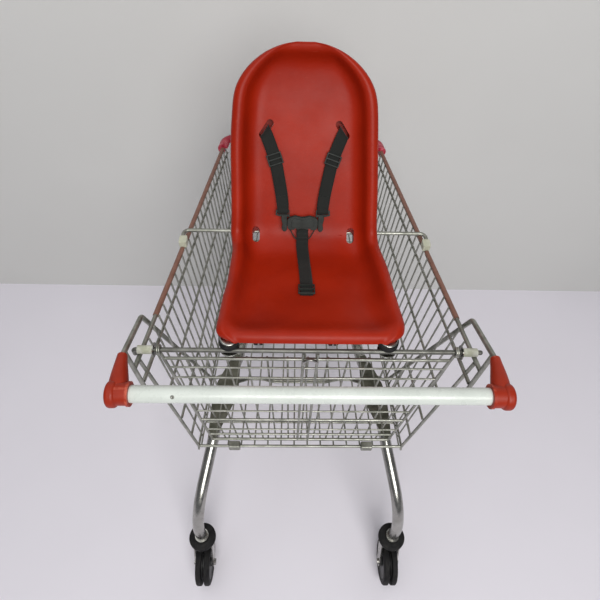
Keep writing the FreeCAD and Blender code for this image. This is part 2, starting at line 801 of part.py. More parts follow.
def seat_section(base, tilt, half, depth, thick):
    """Closed outline of the shell: base on the bucket's floor, tilt of the floor."""
    normal = V(0, -math.sin(math.radians(tilt)), math.cos(math.radians(tilt)))
    scale = min(1.0, half / 90.0)
    band_in = 25.0 * scale
    low = -depth - thick
    outline = [
        (0.0, low), (half * 0.3, low), (half * 0.6, low), (half - 22.0 * scale, low + 0.03 * thick),
        (half - 9.0 * scale, low + 0.2 * thick), (half - 2.0 * scale, low + 0.6 * thick),
        (half, low * 0.4), (half - 2.5 * scale, -5.0 * scale),
        (half - 11.0 * scale, 0.0), (half - 20.0 * scale, -2.5 * scale),
        (half - band_in - 3.0 * scale, -0.42 * depth - 2.0 * scale),
        (half - band_in - 14.0 * scale, -0.88 * depth - 1.0 * scale),
        (half * 0.45, -depth - 0.5 * scale), (0.0, -depth - 0.5 * scale),
    ]
    loop = outline + [(-x, v) for x, v in reversed(outline[1:-1])]
    points = [base + ACROSS * x + normal * (v + depth) for x, v in loop]
    curve = Part.BSplineCurve()
    curve.interpolate(Points=points, PeriodicFlag=True)
    return Part.Wire(curve.toShape())


# Pan: floor point (x, y, z), tilt, half width, bucket depth, wall.  The first
# four stations round the front lip.
PAN_STATIONS = [
    (2.0, 113.0, 985.0, 52.0, 139.0, 1.0, 9.0),
    (2.0, 118.0, 994.0, 34.0, 148.0, 1.0, 19.0),
    (2.0, 128.0, 998.0, 6.0, 156.0, 2.0, 24.0),
    (3.0, 142.0, 993.0, -12.0, 160.0, 8.0, 24.0),
    (4.0, 157.0, 984.0, -16.0, 161.0, 14.0, 23.0),
    (4.0, 185.0, 972.0, -15.0, 160.0, 20.0, wall),
    (4.0, 220.0, 961.0, -14.0, 158.5, 25.0, wall),
    (5.0, 255.0, 950.5, -12.0, 157.0, 27.0, wall),
    (4.0, 310.0, 940.0, -9.0, 154.5, 32.0, wall),
]
stations = [seat_section(V(x, y, z), tilt, half, depth, thick)
            for x, y, z, tilt, half, depth, thick in PAN_STATIONS]
BEND_R = 70.0
bend_centre = V(0, 367.0, 1001.0)
for tilt, shift in ((-9.0, 1.0), (9.0, -0.5), (27.0, -2.5), (45.0, -4.0)):
    turn = math.radians(tilt)
    base = bend_centre + ACROSS * shift + V(0, math.sin(turn), -math.cos(turn)) * BEND_R
    stations.append(seat_section(base, tilt, 151.0, dish, wall))

# Back: climb, half width, and how far its middle lies right of the upper back's.
arc_start = size("back_length") - size("back_top_arc")
BACK_STATIONS = [
    (0.0, 149.5, 3.5), (50.0, 147.0, 3.0), (105.0, 144.5, 1.5), (160.0, 141.5, 0.0), (arc_start, 137.0, 0.0),
]
for climb, half, shift in BACK_STATIONS:
    stations.append(seat_section(on_back(shift, climb, dish), size("back_angle"), half, dish, wall))
top_half = BACK_STATIONS[-1][1]
TOP_STATIONS = [             # share of the rounded top, bucket depth
    (0.35, 34.0), (0.55, 31.0), (0.7, 26.0), (0.8, 16.0), (0.87, 6.0), (0.93, 2.0), (0.975, 1.0), (0.993, 1.0),
]
for share, depth in TOP_STATIONS:
    climb = arc_start + size("back_top_arc") * share
    half = top_half * math.sqrt(1 - share * share)
    stations.append(
        seat_section(on_back(-2.0 * share, climb, depth), size("back_angle"), half, depth, wall)
    )
shell = Part.makeLoft(stations, True, False)


def seat_foot(side):
    """Front foot of the moulding, beside the clamp."""
    low = [V(side * 102.0, 150.0, 932.0), V(side * 137.0, 150.0, 932.0),
           V(side * 137.0, 176.0, 932.0), V(side * 102.0, 176.0, 932.0)]
    high = [V(side * 96.0, 144.0, 972.0), V(side * 143.0, 144.0, 972.0),
            V(side * 143.0, 186.0, 962.0), V(side * 96.0, 186.0, 962.0)]
    rings = [Part.makePolygon(low + [low[0]]), Part.makePolygon(high + [high[0]])]
    return Part.makeLoft(rings, True, True)


def seat_lug(side):
    """Rib behind the back that hooks over the support bar."""
    rib = Part.makeBox(12.0, 42.0, 34.0, V(side * 70.0 - 6.0, 414.0, 914.0))
    hole = Part.makeCylinder(size("round_bar") / 2 + 0.4, 40.0,
                             V(side * 70.0 - 20.0, size("support_y"), size("support_z")), ACROSS)
    throat = Part.makeBox(40.0, size("round_bar") + 0.8, 30.0,
                          V(side * 70.0 - 20.0, size("support_y") - size("round_bar") / 2 - 0.4,
                            size("support_z") - 30.0))
    return rib, hole.fuse(throat)


def capsule(centre, long_way, out_way, length, wide, deep):
    """A rounded slot cutter through the shell."""
    reach = long_way * ((length - wide) / 2)
    back = out_way * (-deep / 2)
    across = long_way.cross(out_way).normalize()
    ends = [Part.makeCylinder(wide / 2, deep, centre + offset + back, out_way) for offset in (reach, reach * -1)]
    corners = [
        centre + back + reach + across * (wide / 2), centre + back + reach - across * (wide / 2),
        centre + back - reach - across * (wide / 2), centre + back - reach + across * (wide / 2),
    ]
    corners.append(corners[0])
    middle = Part.Face(Part.makePolygon(corners)).extrude(out_way * deep)
    return fuse([middle] + ends)


SHOULDER_X = 74.3
SHOULDER_CLIMB = 178.0
HIP_X = 99.5
HIP_MIDDLE = -5.5
BOSS_DEEP = 14.0             # the bosses round the shoulder slots stand out behind


def slot_slant(side):
    return ACROSS * (-side * math.cos(math.radians(56))) + up_back * math.sin(math.radians(56))


def shoulder_slot(side):
    centre = on_back(side * SHOULDER_X, SHOULDER_CLIMB, dish + wall / 2)
    return capsule(centre, slot_slant(side), behind_back, 40.0, 14.0, 90.0)


def shoulder_boss(side):
    deep = wall / 2 + BOSS_DEEP
    centre = on_back(side * SHOULDER_X, SHOULDER_CLIMB, dish + wall / 2 + deep / 2)
    return capsule(centre, slot_slant(side), behind_back, 52.0, 26.0, deep)


def hip_slot(side):
    place = math.radians(39.0)
    turn = math.radians(25.0)
    way = V(0, math.cos(turn), math.sin(turn))
    out = V(0, math.sin(turn), -math.cos(turn))
    base = bend_centre + V(0, math.sin(place), -math.cos(place)) * (BEND_R + wall / 2)
    return capsule(base + ACROSS * (side * HIP_X + HIP_MIDDLE), way, out, 31.0, 15.0, 70.0)


lugs = sides(seat_lug)
shell = shell.fuse(sides(seat_foot) + sides(shoulder_boss) + [lug[0] for lug in lugs])


def clamp_room(side):
    """Room for the clamp under the front lip, and the hole of its bolt."""
    foot = V(side * size("clamp_x"), size("clamp_y"), 0)
    room = Part.makeCylinder(size("clamp_rubber") / 2 + 1.0, CLAMP_TOP - 900.0, foot + UP * 900.0)
    return room.fuse(Part.makeCylinder(3.1, 30.0, foot + UP * 960.0))


CLAMP_TOP = 985.2
cuts = sides(shoulder_slot) + sides(hip_slot) + sides(clamp_room) + [lug[1] for lug in lugs]
shell = shell.cut(cuts)
solid_part("seat_shell", one_solid(shell))

# ------------------------------------------------------ seat clamps
RUBBER_LOW = 959.0
RUBBER_HIGH = 983.0
SHEET_THICK = 1.5
clamp_r = size("clamp_rubber") / 2


def clamp_place(side, z):
    return V(side * size("clamp_x"), size("clamp_y"), z)


def clamp_rubber(side):
    disc = Part.makeCylinder(clamp_r, RUBBER_HIGH - RUBBER_LOW, clamp_place(side, RUBBER_LOW))
    rod_way = Part.makeCylinder(rod_r + 0.02, 80.0, pivot + ACROSS * (side * size("clamp_x") - 40.0), ACROSS)
    bolt_way = Part.makeCylinder(3.02, 40.0, clamp_place(side, RUBBER_LOW - 10.0))
    return one_solid(disc.cut(rod_way).cut(bolt_way))


def clamp_washers(side):
    found = []
    for z in (RUBBER_LOW - SHEET_THICK - 0.02, RUBBER_HIGH + 0.02):
        disc = Part.makeCylinder(clamp_r - 0.5, SHEET_THICK, clamp_place(side, z))
        found.append(disc.cut(Part.makeCylinder(3.05, 10.0, clamp_place(side, z - 4.0))))
    return found


def clamp_bolt(side):
    shank = Part.makeCylinder(3.0, 40.0, clamp_place(side, 948.0))
    nut_z = RUBBER_LOW - SHEET_THICK - 0.04 - 5.0
    points = [
        clamp_place(side, nut_z) + V(6.2 * math.cos(math.radians(60 * turn)),
                                     6.2 * math.sin(math.radians(60 * turn)), 0)
        for turn in range(7)
    ]
    nut = Part.Face(Part.makePolygon(points)).extrude(UP * 5.0)
    return one_solid(shank.fuse(nut))


solid_part("clamp_rubbers", group(sides(clamp_rubber)))
solid_part("clamp_washers", group(clamp_washers(-1) + clamp_washers(1)))
solid_part("clamp_bolts", group(sides(clamp_bolt)))

# ------------------------------------------------------ support bar
CLIP_Y = 411.0
bar_r = size("round_bar") / 2


def bar_end(side):
    on_rim = rim_point(side, CLIP_Y - 6.0)
    return on_rim + UP * (rim / 2 + bar_r + 1.6)


def support_path():
    return [
        bar_end(-1),
        V(-264.0, size("support_y"), size("support_z")),
        V(264.0, size("support_y"), size("support_z")),
        bar_end(1),
    ]


solid_part("support_bar", bent_rod(support_path(), size("round_bar"), 12.0))


def saddle_clip(side):
    """Nylon saddle on the end of the support bar; it rests on the rim, open below."""
    seat_on = rim_point(side, CLIP_Y)
    wide = 16.0
    block = Part.makeBox(wide, 22.0, 23.0, V(seat_on.x - wide / 2, CLIP_Y - 11.0, seat_on.z - 5.0))
    upright = [item for item in block.Edges if abs(item.tangentAt(0).z) > 0.9]
    block = block.makeFillet(3.0, upright)
    start = rim_point(side, CLIP_Y - 30.0)
    end = rim_point(side, CLIP_Y + 30.0)
    on_rim = rod_between(start, end, rim + 0.7)
    slot = [V(rim / 2 + 0.35, 0, 0), V(-rim / 2 - 0.35, 0, 0)]
    ring = [start + slot[0], start + slot[1], start + slot[1] - UP * 20.0, start + slot[0] - UP * 20.0]
    throat = Part.Face(Part.makePolygon(ring + [ring[0]])).extrude(end - start)
    wires = mesh_zone(start, end, V(-side, 0, 0), 0.4)
    bar_way = bent_rod(support_path(), size("round_bar") + 0.06, 12.0)
    return one_solid(block.cut([on_rim, throat, wires, bar_way]))


solid_part("saddle_clips", group(sides(saddle_clip)))

# ------------------------------------------------------ harness
web = size("webbing")
thick = size("webbing_thick")


def strap(points, wides):
    """Flat webbing lofted through centre points, each with its own sideways direction."""
    rings = []
    for index, point in enumerate(points):
        before = points[max(index - 1, 0)]
        after = points[min(index + 1, len(points) - 1)]
        way = (after - before).normalize()
        wide = wides[index] - way * wides[index].dot(way)
        wide = wide.normalize() * (web / 2)
        lift = way.cross(wide).normalize() * (thick / 2)
        ring = [point + wide + lift, point - wide + lift, point - wide - lift, point + wide - lift]
        rings.append(Part.makePolygon(ring + [ring[0]]))
    return Part.makeLoft(rings, True, True)


BUCKLE_HALF = 31.0
buckle_centre = on_back(0, -3.0, dish - 16.0)


def on_buckle(x, climb, rise):
    """A point measured from the buckle's middle: across, up the slope, towards the child."""
    return buckle_centre + ACROSS * x + up_back * climb - behind_back * rise


def shoulder_strap(side):
    """From the slanted slot in the back down to the tongue: across, climb, depth, twist."""
    course = [
        (74.3, 181.0, dish + 8.0, 56.0), (74.3, 177.0, dish + 0.5, 52.0), (72.0, 168.0, dish - 5.5, 34.0),
        (67.0, 152.0, dish - 6.5, 19.0), (57.0, 122.0, dish - 7.0, 17.0), (45.0, 60.0, dish - 9.0, 11.0),
        (40.0, 21.0, dish - 13.0, 7.0),
    ]
    points = [on_back(side * x, climb, depth) for x, climb, depth, _ in course]
    wides = [
        ACROSS * math.cos(math.radians(twist)) - up_back * (side * math.sin(math.radians(twist)))
        for _, _, _, twist in course
    ]
    return strap(points, wides)


def pan_floor(y):
    """Height of the middle of the pan between its front slope and the bend."""
    return 950.5 - 0.176 * (y - 255.0)


def crotch_strap():
    points = [
        on_buckle(0, -37.4, 0), V(-8.0, 391.0, 943.0), V(-7.0, 380.0, 939.0), V(-5.0, 355.0, 936.3),
        V(-3.0, 320.0, pan_floor(320.0) + 3.6), V(-1.5, 290.0, pan_floor(290.0) + 3.0),
        V(-1.0, 268.0, pan_floor(268.0) + 2.2), V(-1.0, 248.0, pan_floor(248.0) + 2.2),
    ]
    return strap(points, [ACROSS] * len(points))


for side, word in ((-1, "left"), (1, "right")):
    solid_part("shoulder_strap_" + word, shoulder_strap(side))
solid_part("crotch_strap", crotch_strap())


def ladder(centre, wide_way, long_way, wide, length, height, bar_count):
    """A plastic strap slide: a frame with cross bars over the webbing."""
    out = wide_way.cross(long_way).normalize()

    def slab(across, down, span_across, span_down):
        base = centre + wide_way * across + long_way * down
        points = [
            base + wide_way * (sx * span_across / 2) + long_way * (sy * span_down / 2) - out * (height / 2)
            for sx, sy in ((-1, -1), (1, -1), (1, 1), (-1, 1))
        ]
        return Part.Face(Part.makePolygon(points + [points[0]])).extrude(out * height)

    rail = 2.6
    pieces = [slab(side * (wide - rail) / 2, 0.0, rail, length) for side in (-1, 1)]
    for index in range(bar_count):
        down = -length / 2 + rail / 2 + index * (length - rail) / (bar_count - 1)
        pieces.append(slab(0.0, down, wide, rail))
    return one_solid(fuse(pieces))


def strap_adjuster(side):
    down = (on_back(side * 57.0, 122.0, 0) - on_back(side * 73.0, 170.0, 0)).normalize()
    across = ACROSS - down * ACROSS.dot(down)
    across = across.normalize()
    centre = on_back(side * 57.3, 123.0, dish - 7.0 - thick / 2 - 2.0)
    return ladder(centre, across, down, web + 5.0, 23.0, 3.0, 3)


solid_part("strap_adjusters", group(sides(strap_adjuster)))
slide_way = V(0, 1.0, -0.176).normalize()
slide_at = V(-1.0, 258.0, pan_floor(258.0) + 2.2 + thick / 2 + 2.1)
solid_part("crotch_slide", ladder(slide_at, ACROSS, slide_way, web + 7.0, 27.0, 3.4, 3))

# Buckle: a body on the crotch strap and one tongue for each shoulder strap.
def plate(outline, low, high):
    points = [on_buckle(x, climb, low) for x, climb in outline]
    points.append(points[0])
    return Part.Face(Part.makePolygon(points)).extrude(behind_back * (low - high))


def mirrored_outline(half_outline):
    """A closed outline from its right half, listed from the bottom to the top."""
    return half_outline + [(-x, climb) for x, climb in reversed(half_outline)]


def outward(side, outline):
    return [(side * x, climb) for x, climb in outline]


def buckle_body():
    body = plate(
        mirrored_outline([
            (6.0, -12.0), (9.0, -14.0), (24.0, -14.0), (29.0, -12.0), (BUCKLE_HALF, -8.0), (BUCKLE_HALF, 7.5),
            (28.0, 10.0), (24.5, 11.2), (20.0, 14.0), (13.0, 15.0), (6.5, 12.5),
        ]),
        -5.0, 5.0,
    )
    slots = [plate(outward(side, [(10.0, -6.2), (35.0, -6.2), (35.0, 6.2), (10.0, 6.2)]), -2.7, 2.7)
             for side in (-1, 1)]
    loop_hole = plate(mirrored_outline([(13.5, -31.0), (13.5, -20.0)]), -4.0, 4.0)
    loop = plate(mirrored_outline([(14.5, -36.0), (17.5, -33.0), (27.0, -13.0)]), -2.0, 2.0)
    return one_solid(body.cut(slots).fuse(loop.cut(loop_hole)))


def buckle_tongue(side):
    """Tongue with a prong in the buckle and a slotted loop for the shoulder strap."""
    blade = plate(outward(side, [(12.0, -5.0), (34.0, -5.0), (34.0, 5.0), (12.0, 5.0)]), -2.4, 2.4)
    grip = plate(
        outward(side, [
            (32.0, -14.0), (35.0, -18.0), (40.0, -17.0), (43.0, -12.0), (41.5, -2.0), (44.0, 8.0), (43.0, 16.0),
            (32.0, 15.0),
        ]),
        -4.0, 4.0,
    )
    eye = plate(outward(side, [(26.5, 12.3), (43.0, 13.0), (56.0, 16.0), (55.0, 27.0), (27.0, 27.0)]), -1.8, 1.8)
    eye_hole = plate(outward(side, [(29.0, 17.5), (52.0, 17.5), (52.0, 22.5), (29.0, 22.5)]), -3.0, 3.0)
    return one_solid(fuse([blade, grip, eye]).cut(eye_hole))


solid_part("buckle_body", buckle_body())
for side, word in ((-1, "left"), (1, "right")):
    solid_part("buckle_tongue_" + word, buckle_tongue(side))

# ------------------------------------------------------ check and write
doc.recompute()
for obj in doc.Objects:
    if "Invalid" in obj.State or "Error" in obj.State:
        raise RuntimeError("%s is in error" % obj.Label)
for obj in PARTS:
    if obj.Shape.isNull() or not obj.Shape.isValid():
        raise RuntimeError("%s has no valid shape" % obj.Label)

os.makedirs("parts", exist_ok=True)
for obj in PARTS:
    obj.Shape.exportStep("parts/%s.step" % obj.Label)
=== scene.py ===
import json
import math
from collections import namedtuple

import bmesh
import bpy
from mathutils import Matrix, Vector


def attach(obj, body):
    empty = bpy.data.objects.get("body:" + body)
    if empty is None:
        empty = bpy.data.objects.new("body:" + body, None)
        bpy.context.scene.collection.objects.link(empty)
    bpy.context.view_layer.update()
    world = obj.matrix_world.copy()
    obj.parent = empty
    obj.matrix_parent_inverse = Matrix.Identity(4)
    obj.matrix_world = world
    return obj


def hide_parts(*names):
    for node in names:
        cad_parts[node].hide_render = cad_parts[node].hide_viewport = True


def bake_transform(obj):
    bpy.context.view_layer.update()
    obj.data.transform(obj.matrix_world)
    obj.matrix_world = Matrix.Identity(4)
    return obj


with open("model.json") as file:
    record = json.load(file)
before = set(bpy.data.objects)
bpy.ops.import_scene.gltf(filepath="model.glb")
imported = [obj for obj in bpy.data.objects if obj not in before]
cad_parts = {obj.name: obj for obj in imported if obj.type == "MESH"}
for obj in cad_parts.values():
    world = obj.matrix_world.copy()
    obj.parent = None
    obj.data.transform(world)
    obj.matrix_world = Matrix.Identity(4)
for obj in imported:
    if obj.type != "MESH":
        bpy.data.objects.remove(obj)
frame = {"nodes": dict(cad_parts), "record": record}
for left_over in ("Cube", "Light", "Camera"):
    if left_over in bpy.data.objects:
        bpy.data.objects.remove(bpy.data.objects[left_over])
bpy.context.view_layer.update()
NODES = frame["nodes"]

# Modelled pieces are laid out in millimetres, with y measured from the handle's axis.
MM = 0.001
SETBACK = 413.2              # the handle's axis lies this far behind the frame's origin
ACROSS = Vector((1.0, 0.0, 0.0))


def point_at(x, y, z):
    """A point in millimetres, with y measured from the handle."""
    return Vector((x, y, z))


def to_frame(point):
    """The same point in metres of the shared frame."""
    return (point - Vector((0, SETBACK, 0))) * MM


# ---------------------------------------------------------------- camera
CAMERA_PLACE = (-0.03818, -0.74885, 1.65827)
CAMERA_PITCH, CAMERA_YAW, CAMERA_ROLL = 51.1045, -2.4604, 2.6251
SENSOR_WIDTH = 36.0
LENS = 29.0391


def add_camera():
    """The photograph's own viewpoint, direction and angle of view."""
    pitch, yaw, roll = math.radians(CAMERA_PITCH), math.radians(CAMERA_YAW), math.radians(CAMERA_ROLL)
    ahead = Vector((-math.sin(yaw) * math.cos(pitch), math.cos(yaw) * math.cos(pitch), -math.sin(pitch)))
    right = Vector((math.cos(yaw), math.sin(yaw), 0.0))
    up = right.cross(ahead)
    side_way = right * math.cos(roll) + up * math.sin(roll)
    up_way = up * math.cos(roll) - right * math.sin(roll)
    data = bpy.data.cameras.new("camera")
    data.sensor_width = SENSOR_WIDTH
    data.lens = LENS
    data.clip_start = 0.01
    camera = bpy.data.objects.new("camera", data)
    bpy.context.scene.collection.objects.link(camera)
    turn = Matrix((side_way, up_way, -ahead)).transposed()
    camera.matrix_world = Matrix.Translation(Vector(CAMERA_PLACE)) @ turn.to_4x4()
    bpy.context.scene.camera = camera


# ------------------------------------------------------------- materials
class Finish:
    """A node material put together step by step, ending in one Principled shader."""

    def __init__(self, name, roughness=0.5, metallic=0.0, coat=0.0, specular=0.5, sheen=0.0):
        self.material = bpy.data.materials.new(name)
        self.material.use_nodes = True
        self.tree = self.material.node_tree
        self.shader = self.tree.nodes["Principled BSDF"]
        self.set("Roughness", roughness)
        self.set("Metallic", metallic)
        self.set("Coat Weight", coat)
        self.set("Specular IOR Level", specular)
        self.set("Sheen Weight", sheen)
        self.place = self.tree.nodes.new("ShaderNodeTexCoord").outputs["Object"]
        self.normal = None

    def set(self, socket, value):
        if isinstance(value, bpy.types.NodeSocket):
            self.tree.links.new(value, self.shader.inputs[socket])
        else:
            self.shader.inputs[socket].default_value = value

    def node(self, kind, links, **settings):
        made = self.tree.nodes.new(kind)
        for key, value in settings.items():
            setattr(made, key, value)
        for key, value in links.items():
            if isinstance(value, bpy.types.NodeSocket):
                self.tree.links.new(value, made.inputs[key])
            else:
                made.inputs[key].default_value = value
        return made

    def uv(self):
        return self.tree.nodes.new("ShaderNodeUVMap").outputs["UV"]

    def stretched(self, scale, turn=(0.0, 0.0, 0.0)):
        links = {"Vector": self.place, "Scale": scale, "Rotation": turn}
        return self.node("ShaderNodeMapping", links).outputs["Vector"]

    def noise(self, scale, detail=3.0, roughness=0.55, place=None, distortion=0.0):
        links = {"Vector": place or self.place, "Scale": scale, "Detail": detail,
                 "Roughness": roughness, "Distortion": distortion}
        return self.node("ShaderNodeTexNoise", links).outputs["Fac"]

    def ramp(self, factor, stops):
        made = self.node("ShaderNodeValToRGB", {"Fac": factor})
        ramp = made.color_ramp
        while len(ramp.elements) < len(stops):
            ramp.elements.new(0.5)
        for element, (position, colour) in zip(ramp.elements, stops):
            element.position = position
            element.color = (*colour, 1.0)
        return made.outputs["Color"]

    def span(self, value, low, high, to_low=0.0, to_high=1.0):
        links = {"Value": value, "From Min": low, "From Max": high,
                 "To Min": to_low, "To Max": to_high}
        return self.node("ShaderNodeMapRange", links).outputs["Result"]

    def mix(self, factor, first, second):
        made = self.node("ShaderNodeMix", {}, data_type="RGBA")
        colours = (made.inputs[6], first), (made.inputs[7], second)
        for socket, value in ((made.inputs[0], factor), *colours):
            if isinstance(value, bpy.types.NodeSocket):
                self.tree.links.new(value, socket)
            elif isinstance(value, tuple):
                socket.default_value = (*value, 1.0)
            else:
                socket.default_value = value
        return made.outputs[2]

    def maths(self, operation, first, second=0.0):
        return self.node("ShaderNodeMath", {0: first, 1: second}, operation=operation).outputs[0]

    def bump(self, height, strength, distance):
        links = {"Height": height, "Strength": strength, "Distance": distance}
        if self.normal is not None:
            links["Normal"] = self.normal
        self.normal = self.node("ShaderNodeBump", links).outputs["Normal"]
        self.tree.links.new(self.normal, self.shader.inputs["Normal"])


def zinc_wire():
    """Drawn wire dipped in zinc: grey-green, dull, with darker runs and specks."""
    f = Finish("zinc wire", metallic=0.88)
    cloud = f.noise(38.0, 4.0)
    speck = f.noise(420.0, 2.0)
    tone = f.ramp(cloud, [
        (0.3, (0.20, 0.205, 0.175)), (0.55, (0.33, 0.335, 0.295)), (0.75, (0.45, 0.45, 0.41)),
    ])
    dirt = f.span(speck, 0.60, 0.75)
    f.set("Base Color", f.mix(f.maths("MULTIPLY", dirt, 0.5), tone, (0.11, 0.09, 0.06)))
    f.set("Roughness", f.span(f.noise(90.0, 3.0), 0.3, 0.7, 0.30, 0.52))
    f.bump(f.noise(700.0, 2.0), 0.25, 0.0006)
    return f.material


def bright_steel():
    """Bright plated tube with faint lengthwise streaks."""
    f = Finish("bright steel", metallic=1.0)
    cloud = f.noise(24.0, 4.0)
    f.set("Base Color", f.ramp(cloud, [(0.3, (0.27, 0.265, 0.245)), (0.7, (0.44, 0.435, 0.41))]))
    streak = f.noise(60.0, 3.0, place=f.stretched((1.0, 1.0, 0.15)))
    f.set("Roughness", f.span(streak, 0.3, 0.7, 0.16, 0.32))
    f.bump(f.noise(900.0, 2.0), 0.12, 0.0004)
    return f.material


def shade_darkened_steel(name, low, high):
    """Steel made darker than the bright finish as painted shade, over a real olive tint that changes slowly
    in tone.
    """
    f = Finish(name, metallic=0.75)
    f.set("Base Color", f.ramp(f.noise(45.0), [(0.3, low), (0.7, high)]))
    f.set("Roughness", f.span(f.noise(120.0), 0.3, 0.7, 0.35, 0.55))
    f.bump(f.noise(800.0), 0.2, 0.0005)
    return f.material


def plastic(name, low, high, rough, cloud_scale=26.0, worn=None, specular=0.5):
    """Moulded plastic: slow change of tone, fine grain, and paler rubbed edges."""
    f = Finish(name, specular=specular)
    tone = f.ramp(f.noise(cloud_scale, 4.0), [(0.3, low), (0.7, high)])
    if worn:
        sharp = f.tree.nodes.new("ShaderNodeNewGeometry").outputs["Pointiness"]
        rubbed = f.maths("MULTIPLY", f.span(sharp, 0.53, 0.60), f.span(f.noise(70.0, 5.0), 0.42, 0.62))
        tone = f.mix(rubbed, tone, worn)
    f.set("Base Color", tone)
    f.set("Roughness", f.span(f.noise(cloud_scale * 2.3, 4.0), 0.3, 0.7, rough - 0.07, rough + 0.07))
    f.bump(f.noise(950.0, 2.0), 0.25, 0.0005)
    return f.material


def seat_plastic():
    """Thick rotation-moulded red: orange-peel grain, scuffs and fine scratches."""
    f = Finish("seat plastic", specular=0.2)
    cloud = f.noise(7.0, 5.0, 0.6)
    tone = f.ramp(cloud, [(0.32, (0.27, 0.0110, 0.0014)), (0.68, (0.35, 0.0165, 0.0026))])
    speck = f.span(f.noise(210.0, 3.0, 0.7), 0.66, 0.78)
    tone = f.mix(f.maths("MULTIPLY", speck, 0.35), tone, (0.14, 0.008, 0.004))
    scratch_place = f.stretched((2.0, 26.0, 12.0), turn=(0.3, 0.2, 0.5))
    scratch = f.span(f.noise(40.0, 2.0, 0.5, place=scratch_place, distortion=0.6), 0.68, 0.74)
    tone = f.mix(f.maths("MULTIPLY", scratch, 0.14), tone, (0.52, 0.12, 0.07))
    f.set("Base Color", tone)
    f.set("Roughness", f.span(f.noise(16.0, 5.0, 0.6), 0.3, 0.7, 0.38, 0.50))
    f.bump(f.noise(820.0, 2.0, 0.5), 0.22, 0.0006)
    f.bump(f.noise(60.0, 2.0), 0.10, 0.002)
    return f.material


def white_handle():
    """Glossy white sleeve with grey rub marks."""
    f = Finish("white handle", specular=0.5, coat=0.15)
    tone = f.ramp(f.noise(14.0, 3.0), [(0.3, (0.54, 0.58, 0.54)), (0.7, (0.62, 0.66, 0.62))])
    rub = f.span(f.noise(55.0, 6.0, 0.75, place=f.stretched((0.6, 2.0, 2.0))), 0.60, 0.72)
    f.set("Base Color", f.mix(f.maths("MULTIPLY", rub, 0.3), tone, (0.34, 0.34, 0.31)))
    f.set("Roughness", f.span(f.noise(80.0), 0.3, 0.7, 0.22, 0.38))
    f.bump(f.noise(260.0, 3.0), 0.08, 0.0006)
    return f.material


def rubber():
    """Dull black rubber, slightly dusty."""
    f = Finish("black rubber", specular=0.2)
    dust = f.noise(60.0, 5.0)
    f.set("Base Color", f.ramp(dust, [(0.35, (0.006, 0.006, 0.007)), (0.75, (0.020, 0.019, 0.018))]))
    f.set("Roughness", f.span(f.noise(150.0), 0.3, 0.7, 0.55, 0.75))
    f.bump(f.noise(600.0, 3.0), 0.3, 0.0006)
    return f.material


def webbing():
    """Black woven webbing: ribs crossed by fine picks, from the strap's own UVs in metres."""
    f = Finish("webbing", specular=0.15, sheen=0.1)
    uv = f.uv()
    rib_links = {"Vector": uv, "Scale": 190.0}
    pick_links = {"Vector": uv, "Scale": 260.0, "Distortion": 0.6, "Detail Scale": 60.0}
    ribs = f.node("ShaderNodeTexWave", rib_links, bands_direction="X").outputs["Fac"]
    picks = f.node("ShaderNodeTexWave", pick_links, bands_direction="DIAGONAL").outputs["Fac"]
    weave = f.maths("MULTIPLY", f.span(ribs, 0.0, 1.0, 0.35, 1.0), f.span(picks, 0.0, 1.0, 0.55, 1.0))
    fade = f.noise(30.0, 4.0)
    dark = f.ramp(fade, [(0.3, (0.006, 0.007, 0.006)), (0.7, (0.012, 0.013, 0.012))])
    f.set("Base Color", f.mix(weave, dark, (0.018, 0.020, 0.018)))
    f.set("Roughness", f.span(weave, 0.2, 1.0, 0.80, 0.55))
    f.bump(weave, 0.7, 0.0005)
    return f.material


MATERIALS = {
    "zinc_wire": zinc_wire(),
    "bright_steel": bright_steel(),
    "brown_plastic": plastic("rim sleeve", (0.155, 0.068, 0.045), (0.225, 0.105, 0.074), 0.50,
                             cloud_scale=34.0),
    "crimson_plastic": plastic("corner bumper", (0.30, 0.005, 0.022), (0.39, 0.008, 0.032), 0.40,
                               worn=(0.62, 0.12, 0.15)),
    "white_plastic": white_handle(),
    "red_cap_plastic": plastic("handle cap", (0.25, 0.015, 0.002), (0.33, 0.022, 0.004), 0.42,
                               worn=(0.55, 0.12, 0.07), specular=0.3),
    "seat_plastic": seat_plastic(),
    "black_rubber": rubber(),
    "hub_plastic": plastic("wheel hub", (0.020, 0.020, 0.022), (0.045, 0.045, 0.046), 0.45),
    "nylon": plastic("nylon", (0.38, 0.39, 0.29), (0.50, 0.51, 0.40), 0.42, worn=(0.62, 0.62, 0.54)),
    "webbing": webbing(),
    "buckle_plastic": plastic("buckle plastic", (0.012, 0.015, 0.013), (0.024, 0.029, 0.026), 0.50,
                              cloud_scale=60.0, worn=(0.05, 0.055, 0.052), specular=0.25),
}
# The chassis plates sit in shade under the basket and the pivot rod in shade under the seat: these two
# steels are painted darker as painted shade, over a real greenish-olive tint.
PLATE_STEEL_PAINTED_SHADE = shade_darkened_steel("plate steel painted shade", (0.080, 0.080, 0.060), (0.16, 0.16, 0.125))
ROD_STEEL_PAINTED_SHADE = shade_darkened_steel("rod steel painted shade", (0.12, 0.12, 0.105), (0.22, 0.22, 0.20))
THREAD = plastic("thread", (0.035, 0.038, 0.036), (0.060, 0.064, 0.060), 0.6)


def finish_nodes():
    """Every CAD node takes the finish of its material slot, apart from two that are painted darker as
    painted shade.
    """
    finishes = {entry["node"]: MATERIALS[entry["material_slot"]] for entry in frame["record"]["subparts"]}
    # Painted shade: the plates and the rod take the darkened steels.
    finishes["chassis_plates"] = PLATE_STEEL_PAINTED_SHADE
    finishes["pivot_rod"] = ROD_STEEL_PAINTED_SHADE
    for name, material in finishes.items():
        NODES[name].data.materials.clear()
        NODES[name].data.materials.append(material)


